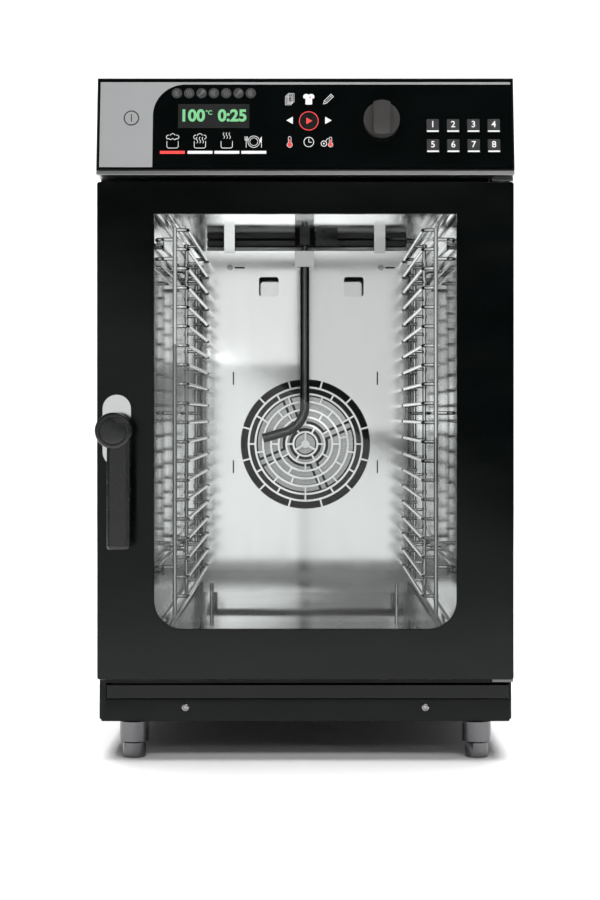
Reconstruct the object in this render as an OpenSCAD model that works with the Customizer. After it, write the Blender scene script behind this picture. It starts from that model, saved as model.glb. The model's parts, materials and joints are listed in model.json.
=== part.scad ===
// Tabletop combi steamer oven with ten tray levels, a glazed door and a tilted control panel.
// Frame: +X right, +Y to the back, +Z up. The origin is on the floor, at the middle of the footprint.

/* [Cabinet] */
// Width of the cabinet and of the door
body_w = 515; // [480:5:560]
// Depth from the door's front to the rear connections
body_d = 777; // [740:1:820]
// Height of the top cover above the floor
cover_z = 846.5; // [840:0.5:860]
// Thickness of the casing sheets
sheet = 2; // [1.5:0.5:3]
// Height of the base rim's lower edge above the floor
base_z = 46; // [40:1:60]

/* [Cavity] */
// Inner width of the oven cavity
cavity_w = 394; // [380:2:400]
// Height of the cavity floor above the ground
cavity_floor_z = 140; // [136:1:144]
// Height of the cavity ceiling above the ground
cavity_ceiling_z = 700; // [698:1:704]
// Depth of the cavity's rear wall behind the door's front
cavity_back = 667; // [660:1:670]
// Height of the fan's centre
fan_z = 384.7; // [370:0.1:400]

/* [Door] */
// Lower edge of the door
door_z0 = 102; // [101.5:0.5:104]
// Upper edge of the door
door_z1 = 717; // [712:1:717]
// Width of the window
window_w = 374; // [340:2:378]
// Lower edge of the window
window_z0 = 164.6; // [160:0.1:180]
// Upper edge of the window
window_z1 = 677.4; // [660:0.1:680]
// Radius of the window's two lower corners
window_r = 36; // [10:1:60]
// How far the handle stands out in front of the door
handle_out = 57; // [50:1:60]

/* [Racks] */
// Number of wire rungs in each rack
rung_count = 20; // [10:1:20]
// Height from one rung to the next
rung_pitch = 24.55; // [24:0.05:25]
// Height of the lowest rung
rung_z0 = 198.4; // [195:0.1:205]
// Half the distance between the two racks' inner wires
rung_x = 150; // [148:1:152]

/* [Control panel] */
// Lower edge of the control panel
panel_z = 730; // [729:1:733]
// Number of quick keys
key_count = 8; // [8:1:8]
// Diameter of the selector knob
knob_d = 44.7; // [40:0.1:48]
// How far a key travels when pressed
key_travel = 0.8; // [0.5:0.1:1]

/* [Hidden] */
$fn = 96;
eps = 0.01;
clear = 0.3; // gap between pieces on different bodies
run = 0.05; // radial gap of a running fit
half_w = body_w / 2;
door_y = handle_out - (body_d + handle_out) / 2; // plane of the door's front
rear_y = door_y + body_d; // rearmost point of the connections

// depths behind the door's front plane
glass_t = 6;
shell_back = 43;
pane_back = 47;
frame_d = 56;
side_d = frame_d + sheet;
rim_d = 32;
recess_d = 50; // the flange behind the gap above the door
trim_h = 5.5;
panel_bottom_d = -11;
panel_top_d = 10;
rear_panel_d = 755;
insulation_t = 20;

// cavity
cavity_x = cavity_w / 2;
cavity_r = 20;
liner_t = 1.5;
mouth_x = cavity_x - 3;
mouth_z0 = cavity_floor_z + 10;
mouth_z1 = cavity_ceiling_z - 6;
baffle_d = 605;
baffle_x = 156;
baffle_z0 = 158.4;
baffle_z1 = 679.7;

// hinge and handle axes
hinge_x = half_w - 15;
hinge_d = 20;
pin_r = 5;
bush_r = 8;
handle_x = -232.8;
handle_z = 410;
spindle_r = 6;

// control panel plane: v runs up the panel, out of the panel is local -Y
panel_tilt = atan((panel_top_d - panel_bottom_d) / (cover_z - panel_z));
panel_len = (cover_z - panel_z) / cos(panel_tilt);
fascia_x = half_w - sheet - 0.2;
fascia_t = 4;
inlay_t = 0.8;
knob_x = 94;
knob_z = 792;
key_w = 15.6;
key_h = 17;
key_x0 = 157.2;
key_pitch = 25.1;
key_row_z = [786.2, 760.8];
key_proud = 1.2;
stem_back = 11.5;
switch_front = stem_back + 1;
board_front = 14;
power_xz = [-215, 796];
power_r = 9.4;
start_xz = [4.2, 792.3];
start_r = 12.6;
display_x0 = -157.3;
display_x1 = -69.3;
display_z0 = 783;
display_z1 = 814;
lamp_x = [-179.4, -145.3, -112.2, -79];
lamp_w = 31;
lamp_z = 750.5;
lamp_h = 4;

// racks
post_x = 166;
post_r = 2.8;
wire_r = 2.4;
weld = post_r + wire_r; // a wire lies against a post at this distance
post_d = [75, 332.5, 590];
spacer_x = 190;
spacer_rungs = [1, 9, 17, 18]; // a spacer lies half a pitch above each of these rungs
stud_r = 4;

// fan, pipes and connections
shaft_r = 6;
pipe_x = -1;
pipe_d = 580;
pipe_r = 7;
riser_r = 4.5;
drain_x = -104;
drain_d = 493;
drain_z = 86;
tube_r = 24;
tube_wall = 1.5;
spigot_r = 25; // the pipes' thicker outer ends
exhaust_x = 150;
exhaust_d = 640;
inlet_x = -60;
inlet_z = 765;
inlet_r = 13.2;
gland_x = 120;
gland_z = 765;
gland_r = 7;

// fan grille: radius of each ring, and how many bridges cross each band and where they start
ring_r = [98.9, 86.7, 76.4, 64.8, 52.6, 41, 29.3, 18.3];
ring_w = 3;
band_bridges = [12, 12, 9, 9, 6, 6, 6];
band_turn = [15, 0, 20, 0, 30, 0, 30];

// heating element: tube, terminals and the loops' outline
heater_r = 4;
heater_terminal_x = 40;
heater_z0 = 176;
heater_z1 = 598;
heater_x = 138;
heater_bend = 60;

// feet
foot_x = 215;
foot_d = [45, 705];
foot_r = 14.5;
foot_h = 19.7;
stem_r = 10;

// ---- helpers ----

function at(depth) = door_y + depth;

// a box between two corners, with its y given as depth behind the door's front
module block(x, depth, z) {
    translate([x[0], at(depth[0]), z[0]])
        cube([x[1] - x[0], depth[1] - depth[0], z[1] - z[0]]);
}

// a 2D outline in X and Z, drawn out from one depth to another
module wall(depth) {
    translate([0, at(depth[1]), 0])
        rotate([90, 0, 0])
            linear_extrude(depth[1] - depth[0]) children();
}

// a bar along Y
module bar_y(x, z, r, depth) {
    translate([x, at(depth[1]), z])
        rotate([90, 0, 0]) cylinder(r = r, h = depth[1] - depth[0]);
}

// a bar along X
module bar_x(x, depth, z, r) {
    translate([x[0], at(depth), z])
        rotate([0, 90, 0]) cylinder(r = r, h = x[1] - x[0]);
}

// an upright bar
module bar_z(x, depth, z, r) {
    translate([x, at(depth), z[0]]) cylinder(r = r, h = z[1] - z[0]);
}

module rounded_rect(x, z, r) {
    translate([x[0] + r, z[0]]) square([x[1] - x[0] - 2 * r, z[1] - z[0]]);
    translate([x[0], z[0] + r]) square([x[1] - x[0], z[1] - z[0] - 2 * r]);
    for (cx = [x[0] + r, x[1] - r], cz = [z[0] + r, z[1] - r])
        translate([cx, cz]) circle(r);
}

module rect(x, z) {
    translate([x[0], z[0]]) square([x[1] - x[0], z[1] - z[0]]);
}

// the window's outline: square above, round below
module window_shape() {
    wx = window_w / 2;
    rect([-wx, wx], [window_z0 + window_r, window_z1]);
    rect([window_r - wx, wx - window_r], [window_z0, window_z1]);
    for (side = [-1, 1])
        translate([side * (wx - window_r), window_z0 + window_r]) circle(window_r);
}

// children are drawn with their origin on the control panel's front, at x and at height z
module on_panel(x, z) {
    translate([x, at(panel_bottom_d), panel_z])
        rotate([-panel_tilt, 0, 0])
            translate([0, 0, (z - panel_z) / cos(panel_tilt)]) children();
}

// a bar out of the panel: depths are measured into the panel
module panel_bar(r, depth, sides = 96) {
    translate([0, depth[1], 0])
        rotate([90, 0, 0]) cylinder(r = r, h = depth[1] - depth[0], $fn = sides);
}

module panel_block(w, depth, h) {
    translate([-w / 2, depth[0], -h / 2]) cube([w, depth[1] - depth[0], h]);
}

function key_x(n) = key_x0 + ((n - 1) % 4) * key_pitch;
function key_z(n) = key_row_z[floor((n - 1) / 4)];

// ---- casing ----

module base_pan() {
    inner_x = half_w - sheet;
    color("dimgray") difference() {
        union() {
            block([-inner_x, inner_x], [rim_d + sheet, rear_panel_d], [base_z, base_z + sheet]);
            for (side = [-1, 1])
                block([side * inner_x - sheet * (side + 1) / 2, side * inner_x - sheet * (side - 1) / 2],
                      [side_d, rear_panel_d], [base_z + sheet, 95]);
        }
        for (side = [-1, 1], depth = foot_d)
            bar_z(side * foot_x, depth, [base_z - 1, base_z + sheet + 1], stem_r + 0.5);
    }
}

module front_rim() {
    top_z = 97.5;
    chamfer = 4;
    color("black") {
        wall([rim_d, rim_d + sheet]) difference() {
            polygon([[-half_w + chamfer, base_z], [half_w - chamfer, base_z], [half_w, base_z + chamfer],
                     [half_w, top_z], [-half_w, top_z], [-half_w, base_z + chamfer]]);
            rect([-249, 254.9], [73.5, 94]);
            for (side = [-1, 1]) translate([side * 150, 63.4]) circle(2.6);
        }
        block([-half_w, half_w], [rim_d + sheet, frame_d], [top_z - sheet, top_z]);
        for (side = [-1, 1])
            block([side * (half_w - sheet / 2) - sheet / 2, side * (half_w - sheet / 2) + sheet / 2],
                  [rim_d + sheet, frame_d], [base_z + chamfer, top_z - sheet]);
    }
}

// a trough behind the rim's slot that catches the water that runs off the door
module drip_tray() {
    tray_x = [-247.6, 253.5];
    tray_d = [26, 54];
    tray_z = [75, 92.5];
    color("black") difference() {
        block(tray_x, tray_d, tray_z);
        block([tray_x[0] + sheet, tray_x[1] - sheet], [tray_d[0] + sheet, tray_d[1] - sheet],
              [tray_z[0] + sheet, tray_z[1] + 1]);
    }
}

module side_panel(side) {
    mid_x = side * (half_w - sheet / 2);
    color("black")
        block([mid_x - sheet / 2, mid_x + sheet / 2], [side_d, rear_panel_d + sheet],
              [base_z, cover_z - sheet]);
}

module top_cover() {
    color("silver") difference() {
        block([-half_w, half_w], [side_d, rear_panel_d + sheet], [cover_z - sheet, cover_z]);
        bar_z(exhaust_x, exhaust_d, [cover_z - 2 * sheet, cover_z + 1], spigot_r + 0.5);
    }
}

module rear_panel() {
    inner_x = half_w - sheet;
    louvre_w = 60;
    louvre_h = 5;
    color("silver") wall([rear_panel_d, rear_panel_d + sheet]) difference() {
        rect([-inner_x, inner_x], [base_z + sheet, cover_z - sheet]);
        for (col = [-1, 1], row = [0:7])
            rounded_rect([col * 130 - louvre_w / 2, col * 130 + louvre_w / 2],
                         [330 + row * 18, 330 + row * 18 + louvre_h], louvre_h / 2 - eps);
        translate([drain_x, drain_z]) circle(spigot_r + 0.5);
        translate([inlet_x, inlet_z]) circle(inlet_r + 0.5);
        translate([gland_x, gland_z]) circle(gland_r + 5.5);
    }
}

module front_frame() {
    color("silver") wall([frame_d, side_d]) difference() {
        rect([-half_w, half_w], [base_z + 51.5, panel_z]);
        rounded_rect([-mouth_x, mouth_x], [mouth_z0, mouth_z1], cavity_r + 2);
    }
}

module cavity_liner() {
    wall_x = cavity_x + liner_t;
    wall_z = [cavity_floor_z - liner_t, cavity_ceiling_z + liner_t];
    color("gainsboro") difference() {
        wall([side_d, cavity_back + liner_t])
            rounded_rect([-wall_x, wall_x], wall_z, cavity_r + liner_t);
        wall([side_d - 1, cavity_back])
            rounded_rect([-cavity_x, cavity_x], [cavity_floor_z, cavity_ceiling_z], cavity_r);
        bar_y(0, fan_z, shaft_r + 3, [cavity_back - 1, cavity_back + 5]);
        bar_z(drain_x, drain_d, [wall_z[0] - 1, cavity_floor_z + 1], tube_r + eps);
        bar_z(exhaust_x, exhaust_d, [cavity_ceiling_z - 1, wall_z[1] + 1], tube_r + eps);
        bar_z(pipe_x, pipe_d, [cavity_ceiling_z - 1, wall_z[1] + 1], riser_r + eps);
        for (side = [-1, 1])
            bar_y(heater_terminal_x * side, heater_z0, heater_r + eps, [cavity_back - 1, cavity_back + 5]);
    }
}

module insulation() {
    outer_x = cavity_x + liner_t + insulation_t;
    outer_z = [cavity_floor_z - liner_t - insulation_t, cavity_ceiling_z + liner_t + insulation_t];
    hole_z = [outer_z[0] - 1, outer_z[1] + 1];
    color("khaki") difference() {
        wall([side_d, cavity_back + liner_t + insulation_t])
            rect([-outer_x, outer_x], outer_z);
        wall([side_d - 1, cavity_back + liner_t])
            rounded_rect([-cavity_x - liner_t, cavity_x + liner_t],
                         [cavity_floor_z - liner_t, cavity_ceiling_z + liner_t], cavity_r + liner_t);
        bar_y(0, fan_z, shaft_r + 3, [cavity_back, cavity_back + 30]);
        bar_z(drain_x, drain_d, [hole_z[0], cavity_floor_z], tube_r + 1);
        bar_z(exhaust_x, exhaust_d, [cavity_ceiling_z, hole_z[1]], tube_r + 1);
        bar_z(pipe_x, pipe_d, [cavity_ceiling_z, hole_z[1]], riser_r + 1);
        for (side = [-1, 1])
            bar_y(heater_terminal_x * side, heater_z0, heater_r + 1, [cavity_back, cavity_back + 30]);
    }
}

// the plug-in seal that the door's inner pane closes on
module door_seal() {
    seal_w = 12;
    inner_x = mouth_x + 2;
    inner_z = [mouth_z0 - 2, mouth_z1 + 2];
    color("black") wall([pane_back + clear, frame_d]) difference() {
        rounded_rect([-inner_x - seal_w, inner_x + seal_w],
                     [inner_z[0] - seal_w, inner_z[1] + seal_w], cavity_r + seal_w);
        rounded_rect([-inner_x, inner_x], inner_z, cavity_r);
    }
}

// ---- control panel ----

// side view of the housing, drawn in depth and height
module housing_profile(inset) {
    polygon([[panel_bottom_d + inset, panel_z + inset], [panel_top_d + inset, cover_z - inset],
             [side_d, cover_z - inset], [side_d, panel_z + inset]]);
}

module along_x(x) {
    translate([x[0], door_y, 0])
        rotate([90, 0, 90]) linear_extrude(x[1] - x[0]) children();
}

module control_housing() {
    flange_x = [-half_w, 230];
    recess_top = panel_z - trim_h;
    color("black") {
        difference() {
            along_x([-half_w, half_w]) housing_profile(0);
            along_x([-half_w + sheet, half_w - sheet])
                polygon([[panel_bottom_d - 10, panel_z + sheet], [panel_top_d - 10, cover_z - sheet],
                         [side_d + 1, cover_z - sheet], [side_d + 1, panel_z + sheet]]);
        }
        // lower flange, set back above the door
        block(flange_x, [recess_d, recess_d + sheet], [door_z1 + 1.5, recess_top]);
        block(flange_x, [rim_d, frame_d], [recess_top, panel_z]);
    }
}

// bright strip under the control panel
module trim_strip() {
    color("silver") block([-half_w, half_w], [panel_bottom_d + 1, rim_d], [panel_z - trim_h, panel_z]);
}

// silver area of the panel: a field on the left that sweeps into a line along the top
module inlay_shape() {
    field_x = -188.5;
    sweep_r = 40;
    line_v = panel_len - 8;
    line_h = 3;
    bottom_v = 4;
    rect([-fascia_x + 1.5, field_x], [bottom_v, line_v + line_h]);
    difference() {
        rect([field_x - eps, field_x + sweep_r], [line_v - sweep_r, line_v + line_h]);
        translate([field_x + sweep_r, line_v - sweep_r]) circle(sweep_r);
    }
    rect([field_x, fascia_x - 1.5], [line_v, line_v + line_h]);
}

module inlay_plate(depth) {
    on_panel(0, panel_z)
        translate([0, depth[1], 0])
            rotate([90, 0, 0]) linear_extrude(depth[1] - depth[0]) inlay_shape();
}

module display_cutout(depth) {
    middle_x = (display_x0 + display_x1) / 2;
    on_panel(middle_x, (display_z0 + display_z1) / 2)
        panel_block(display_x1 - display_x0, depth, display_z1 - display_z0);
    for (x = lamp_x)
        on_panel(x + lamp_w / 2, lamp_z + lamp_h / 2) panel_block(lamp_w, depth, lamp_h);
}

module fascia() {
    edge = (sheet + fascia_t * sin(panel_tilt)) / cos(panel_tilt) + 0.2;
    color([0.03, 0.03, 0.035]) difference() {
        on_panel(0, panel_z)
            translate([-fascia_x, 0, edge]) cube([2 * fascia_x, fascia_t, panel_len - 2 * edge]);
        inlay_plate([-1, inlay_t]);
        display_cutout([-1, fascia_t + 1]);
        for (n = [1:key_count])
            on_panel(key_x(n), key_z(n)) panel_block(key_w + 2 * clear, [-1, fascia_t + 1], key_h + 2 * clear);
        on_panel(knob_x, knob_z) panel_bar(6, [-1, fascia_t + 1]);
        on_panel(power_xz[0], power_xz[1]) panel_bar(power_r + clear, [-1, fascia_t + 1]);
        on_panel(start_xz[0], start_xz[1]) panel_bar(start_r + clear, [-1, fascia_t + 1]);
    }
}

module fascia_inlay() {
    color("silver") difference() {
        inlay_plate([0, inlay_t]);
        on_panel(power_xz[0], power_xz[1]) panel_bar(power_r + clear, [-1, 2]);
    }
}

// the display's pane and the four small lamp bars below it
module display_windows() {
    color([0.2, 0.2, 0.2]) display_cutout([0, 3]);
}

// circuit board with a switch behind every key and the encoder that holds the knob's shaft
module control_board() {
    board_t = 1.6;
    color("darkgreen") difference() {
        on_panel(0, panel_z + 56) panel_block(490, [board_front, board_front + board_t], 84);
        on_panel(knob_x, knob_z) panel_bar(4, [board_front - 1, board_front + 3]);
    }
    color("gray") {
        for (n = [1:key_count])
            on_panel(key_x(n), key_z(n)) panel_block(6, [switch_front, board_front], 6);
        on_panel(power_xz[0], power_xz[1]) panel_block(6, [switch_front, board_front], 6);
        on_panel(start_xz[0], start_xz[1]) panel_block(6, [switch_front, board_front], 6);
        on_panel(knob_x, knob_z) difference() {
            panel_block(14, [5, board_front], 14);
            panel_bar(3 + run, [4, board_front + 1]);
        }
    }
}

module knob() {
    grip_w = 21;
    base_front = -9;
    grip_front = -17;
    color([0.25, 0.24, 0.24]) on_panel(knob_x, knob_z) {
        panel_bar(knob_d / 2, [base_front, -0.6]);
        intersection() {
            panel_bar(knob_d / 2 - 0.4, [grip_front, base_front]);
            panel_block(grip_w, [grip_front, base_front], knob_d);
        }
        panel_bar(3, [-0.6 - eps, 16]);
    }
}

module quick_key(n) {
    color([0.25, 0.25, 0.26]) on_panel(key_x(n), key_z(n)) {
        panel_block(key_w, [-key_proud, fascia_t + 1], key_h);
        panel_block(5, [fascia_t + 1, stem_back], 5);
    }
}

module round_button(place, r, shade) {
    color(shade) on_panel(place[0], place[1]) {
        panel_bar(r, [-0.2, fascia_t + 1]);
        panel_block(5, [fascia_t + 1, stem_back], 5);
    }
}

module power_button() {
    round_button(power_xz, power_r, "silver");
}

module start_button() {
    round_button(start_xz, start_r, [0.05, 0.05, 0.05]);
}

// ---- door ----

module hinge_brackets() {
    arm_x = [hinge_x - 11, half_w];
    color("silver") for (z = [[door_z1 + 2, door_z1 + 7], [door_z0 - 4, door_z0 - 0.5]])
        difference() {
            block(arm_x, [hinge_d - 12, frame_d], z);
            bar_z(hinge_x, hinge_d, [z[0] - 1, z[1] + 1], pin_r);
        }
}

module hinge_pins() {
    reach = 24;
    color("gainsboro") {
        bar_z(hinge_x, hinge_d, [door_z1 - reach, door_z1 + 7], pin_r);
        bar_z(hinge_x, hinge_d, [door_z0 - 4, door_z0 + reach], pin_r);
    }
}

module door_front() {
    color("black") difference() {
        wall([0, glass_t]) rounded_rect([-half_w, half_w], [door_z0, door_z1], 3);
        wall([-1, glass_t + 1]) window_shape();
        bar_y(handle_x, handle_z, spindle_r + run, [-1, glass_t + 1]);
    }
}

module outer_pane() {
    color([0.7, 0.8, 0.85, 0.35]) wall([0.2, glass_t]) window_shape();
}

// pressed tray behind the glass, open to the front, with bosses for the hinge and the handle
module door_shell() {
    inner_x = window_w / 2 + 6;
    inner_z = [window_z0 - 6.6, window_z1 + 6.6];
    boss_h = 30;
    color("dimgray") difference() {
        union() {
            difference() {
                wall([glass_t, shell_back]) rounded_rect([-half_w, half_w], [door_z0, door_z1], 3);
                wall([glass_t - 1, shell_back - sheet]) difference() {
                    rect([-half_w + sheet, half_w - sheet], [door_z0 + sheet, door_z1 - sheet]);
                    rect([-inner_x - sheet, inner_x + sheet], [inner_z[0] - sheet, inner_z[1] + sheet]);
                }
                wall([glass_t - 1, shell_back + 1]) rect([-inner_x, inner_x], inner_z);
            }
            for (z = [[door_z0 + eps, door_z0 + boss_h], [door_z1 - boss_h, door_z1 - eps]])
                bar_z(hinge_x, hinge_d, z, bush_r + 4);
            bar_y(handle_x, handle_z, spindle_r + 5, [glass_t, shell_back - eps]);
        }
        for (z = [[door_z0 - 1, door_z0 + 25], [door_z1 - 25, door_z1 + 1]])
            bar_z(hinge_x, hinge_d, z, bush_r);
        bar_y(handle_x, handle_z, spindle_r + run, [glass_t - 1, shell_back + 1]);
    }
}

module inner_pane() {
    color([0.7, 0.8, 0.85, 0.35]) wall([shell_back, pane_back])
        rounded_rect([-222, 222], [122, 711], 12);
}

// clips that hold the inner pane against the door
module pane_clips() {
    color("silver") for (side = [-1, 1], z = [200, 630]) {
        block([side * 218 - 4, side * 218 + 4], [pane_back, pane_back + 1.5], [z - 12, z + 12]);
        block([side * 225.5 - 3.5, side * 225.5 + 3.5], [shell_back, pane_back + 1.5], [z - 12, z + 12]);
    }
}

module hinge_bushes() {
    color("peru") for (z = [[door_z0 + 0.3, door_z0 + 25], [door_z1 - 25, door_z1 - 0.3]])
        difference() {
            bar_z(hinge_x, hinge_d, z, bush_r);
            bar_z(hinge_x, hinge_d, [z[0] - 1, z[1] + 1], pin_r + run);
        }
}

// polished plate behind the handle
module rosette() {
    plate_w = 35;
    plate_h = 88;
    color("gainsboro") wall([-3, 0]) difference() {
        rounded_rect([handle_x - plate_w / 2, handle_x + plate_w / 2],
                     [handle_z - plate_h / 2, handle_z + plate_h / 2], plate_w / 2 - eps);
        translate([handle_x, handle_z]) circle(spindle_r + run);
    }
}

module handle_lever() {
    boss_r = 22;
    lever_x = [-240.7, -212.4];
    lever_end_z = 265;
    lever_back = -41;
    color([0.05, 0.05, 0.05]) difference() {
        union() {
            bar_y(handle_x, handle_z, boss_r, [-handle_out, -30]);
            bar_y(handle_x, handle_z, 14, [-30 - eps, -3 - clear]);
            wall([-handle_out + 3, lever_back])
                rounded_rect(lever_x, [lever_end_z, handle_z], 6);
        }
        bar_y(handle_x, handle_z, spindle_r, [-45, 0]);
        // groove round the cap
        wall([-handle_out - 1, -handle_out + 1]) difference() {
            translate([handle_x, handle_z]) circle(17);
            translate([handle_x, handle_z]) circle(15.6);
        }
    }
}

// spindle through the door, with the pawl on its inner end
module latch_spindle() {
    pawl_d = [48, 52];
    pawl_r = 24;
    color("silver") {
        bar_y(handle_x, handle_z, spindle_r, [-45, pawl_d[1]]);
        bar_y(handle_x, handle_z, 9, pawl_d);
        wall(pawl_d) intersection() {
            rect([handle_x - 7.5, handle_x + 7.5], [handle_z, handle_z + pawl_r]);
            translate([handle_x, handle_z]) circle(pawl_r);
        }
    }
}

// catch on the cabinet; its lip ends just above the pawl
module strike() {
    lip_z = handle_z + 25;
    catch_x = [handle_x - 9, handle_x + 9];
    color("silver") {
        block(catch_x, [44.4, 47.6], [lip_z, lip_z + 13]);
        block(catch_x, [44.4, frame_d], [lip_z + 13, lip_z + 21]);
        block(catch_x, [frame_d - sheet, frame_d], [lip_z + 21, lip_z + 36]);
    }
}

// ---- inside the cavity ----

// the punched fan grille: bands of slots between rings, and a three-armed centre
module grille_slots() {
    bridge_w = 2.6;
    for (band = [0:len(band_bridges) - 1]) {
        outer_r = band == 0 ? ring_r[0] : ring_r[band] - ring_w / 2;
        inner_r = ring_r[band + 1] + ring_w / 2;
        difference() {
            circle(outer_r);
            circle(inner_r);
            for (k = [0:band_bridges[band] - 1])
                rotate(band_turn[band] + k * 360 / band_bridges[band])
                    translate([-bridge_w / 2, inner_r - 1]) square([bridge_w, outer_r - inner_r + 2]);
        }
    }
    difference() {
        circle(ring_r[7] - ring_w / 2);
        circle(6);
        for (k = [0:2]) rotate(120 * k) translate([-1.5, 0]) square([3, ring_r[7]]);
    }
}

module fan_baffle() {
    flange_d = 14;
    baffle_t = 2;
    hole = 15;
    color("gainsboro") {
        wall([baffle_d, baffle_d + baffle_t]) difference() {
            rect([-baffle_x, baffle_x], [baffle_z0, baffle_z1]);
            translate([0, fan_z]) grille_slots();
            for (x = [-56, 74])
                rounded_rect([x - hole, x + hole], [625 - hole, 625 + hole], 4.5);
            for (x = [[-108, -93], [122, 136.5]]) rect(x, [652.8, 655.2]);
            for (side = [-1, 1], z = [340, 475]) rect([side * 110 - 1, side * 110 + 1], [z, z + 20]);
            for (side = [-1, 1]) translate([side * 115, 654]) circle(3);
        }
        for (side = [-1, 1])
            block([side * (baffle_x - 1) - 1, side * (baffle_x - 1) + 1],
                  [baffle_d + baffle_t, baffle_d + flange_d], [baffle_z0, baffle_z1]);
        // raised lip along the lower edge
        wall([baffle_d - 1.2, baffle_d])
            polygon([[-148, baffle_z0], [148, baffle_z0], [124, 186], [-136, 186]]);
    }
}

// studs that carry the racks, clips and rods that hold the baffle, and its two screws
module cavity_fittings() {
    stud_gap = 0.1;
    color("silver") {
        for (side = [-1, 1], z = [spacer_z(spacer_rungs[0]), spacer_z(spacer_rungs[3])], depth = [110, 555])
            translate([0, 0, z - stud_r - wire_r - stud_gap]) {
                bar_x(side > 0 ? [spacer_x - 6, cavity_x] : [-cavity_x, 6 - spacer_x], depth, 0, stud_r);
                bar_x(side > 0 ? [spacer_x - 8, spacer_x - 6] : [6 - spacer_x, 8 - spacer_x], depth, 0, 6);
            }
        for (x = [[-124, -108], [105, 122]])
            block(x, [baffle_d - 2, baffle_d], [baffle_z1 - 4, cavity_ceiling_z]);
        for (x = [-143, 139])
            bar_z(x, baffle_d - 4.5, [cavity_floor_z, baffle_z0 + 14], 3);
        for (side = [-1, 1]) {
            bar_y(side * 115, 654, 4.8, [baffle_d - 3, baffle_d]);
            bar_y(side * 115, 654, 3, [baffle_d, cavity_back]);
        }
    }
}

module fan_wheel() {
    wheel_d = [618, 656];
    outer_r = 88;
    blade_count = 28;
    spoke_turn = 67;
    color("dimgray") translate([0, 0, fan_z]) {
        wall([wheel_d[0], wheel_d[0] + 1.5]) difference() {
            circle(outer_r);
            circle(75);
        }
        wall([wheel_d[1] - 2, wheel_d[1]]) difference() {
            circle(outer_r);
            circle(shaft_r);
            difference() {
                circle(72);
                circle(22);
                for (k = [0:3]) rotate(-spoke_turn + 90 * k) translate([-8, 0]) square([16, 90]);
            }
        }
        wall([wheel_d[0] + 1.5 - eps, wheel_d[1] - 2 + eps])
            for (k = [0:blade_count - 1])
                rotate(k * 360 / blade_count) translate([-0.75, 75.5]) square([1.5, 12]);
        wall([wheel_d[1] - 12, wheel_d[1] - 2 + eps]) difference() {
            circle(16);
            circle(shaft_r);
        }
        wall([wheel_d[1] - 2 - eps, wheel_d[1] + 0.01]) difference() {
            circle(18);
            circle(shaft_r);
        }
    }
}

// motor shaft with the nut that holds the fan wheel
module fan_shaft() {
    shaft_d = [632, 740];
    nut_d = [636, 644];
    color("silver") {
        bar_y(0, fan_z, shaft_r, shaft_d);
        difference() {
            translate([0, at(nut_d[1]), fan_z])
                rotate([90, 0, 0]) cylinder(r = 10, h = nut_d[1] - nut_d[0], $fn = 6);
            bar_y(0, fan_z, shaft_r, [nut_d[0] - 1, nut_d[1] + 1]);
        }
    }
}

module fan_motor() {
    motor_r = 58;
    motor_d = [cavity_back + liner_t + insulation_t + 2, 748];
    color("slategray") difference() {
        union() {
            bar_y(0, fan_z, motor_r, motor_d);
            block([-90, 90], [motor_d[0] - 2, motor_d[0]], [fan_z - 70, fan_z + 70]);
            block([-30, 30], [motor_d[0] + 8, motor_d[1] - 8], [fan_z + 40, fan_z + 78]);
        }
        bar_y(0, fan_z, shaft_r + run, [motor_d[0] - 3, 742]);
    }
}

// one loop of the tubular heater in the plane of the fan
module heater_loop(depth) {
    for (side = [-1, 1]) {
        bar_z(side * heater_x, depth, [heater_z0 + heater_bend, heater_z1 - heater_bend], heater_r);
        for (upper = [-1, 1])
            translate([side * (heater_x - heater_bend), at(depth),
                       upper > 0 ? heater_z1 - heater_bend : heater_z0 + heater_bend])
                rotate([90, side > 0 ? (upper > 0 ? 0 : 90) : (upper > 0 ? -90 : 180), 0])
                    rotate_extrude(angle = 90) translate([heater_bend, 0]) circle(heater_r);
    }
    bar_x([-heater_x + heater_bend, heater_x - heater_bend], depth, heater_z1, heater_r);
}

module heating_element() {
    loop_d = [628, 640, 652];
    color([0.2, 0.19, 0.18]) {
        for (depth = loop_d) {
            heater_loop(depth);
            if (depth != loop_d[2]) bar_x([-heater_x + heater_bend, heater_x - heater_bend], depth, heater_z0, heater_r);
        }
        for (side = [-1, 1]) {
            bar_x(side > 0 ? [heater_terminal_x, heater_x - heater_bend] : [heater_bend - heater_x, -heater_terminal_x],
                  loop_d[2], heater_z0, heater_r);
            bar_y(side * heater_terminal_x, heater_z0, heater_r, [loop_d[2], 705]);
        }
        for (side = [-1, 1], z = [300, 470])
            block([side * heater_x - 1.5, side * heater_x + 1.5], [loop_d[0], cavity_back], [z, z + 12]);
    }
}

// pipe that comes through the ceiling and sprays water onto the fan
module injection_pipe() {
    bend_r = 40;
    bend_z = 442;
    bend_angle = atan(24 / 7);
    tail = 36;
    color([0.2, 0.2, 0.21]) {
        bar_z(pipe_x, pipe_d, [bend_z, 668], pipe_r);
        bar_z(pipe_x, pipe_d, [667, 750], riser_r);
        translate([pipe_x - bend_r, at(pipe_d), bend_z]) {
            rotate([-90, 0, 0]) rotate_extrude(angle = bend_angle) translate([bend_r, 0]) circle(pipe_r);
            rotate([0, bend_angle, 0]) translate([bend_r, 0, 0])
                mirror([0, 0, 1]) cylinder(r = pipe_r, h = tail);
        }
    }
}

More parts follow.
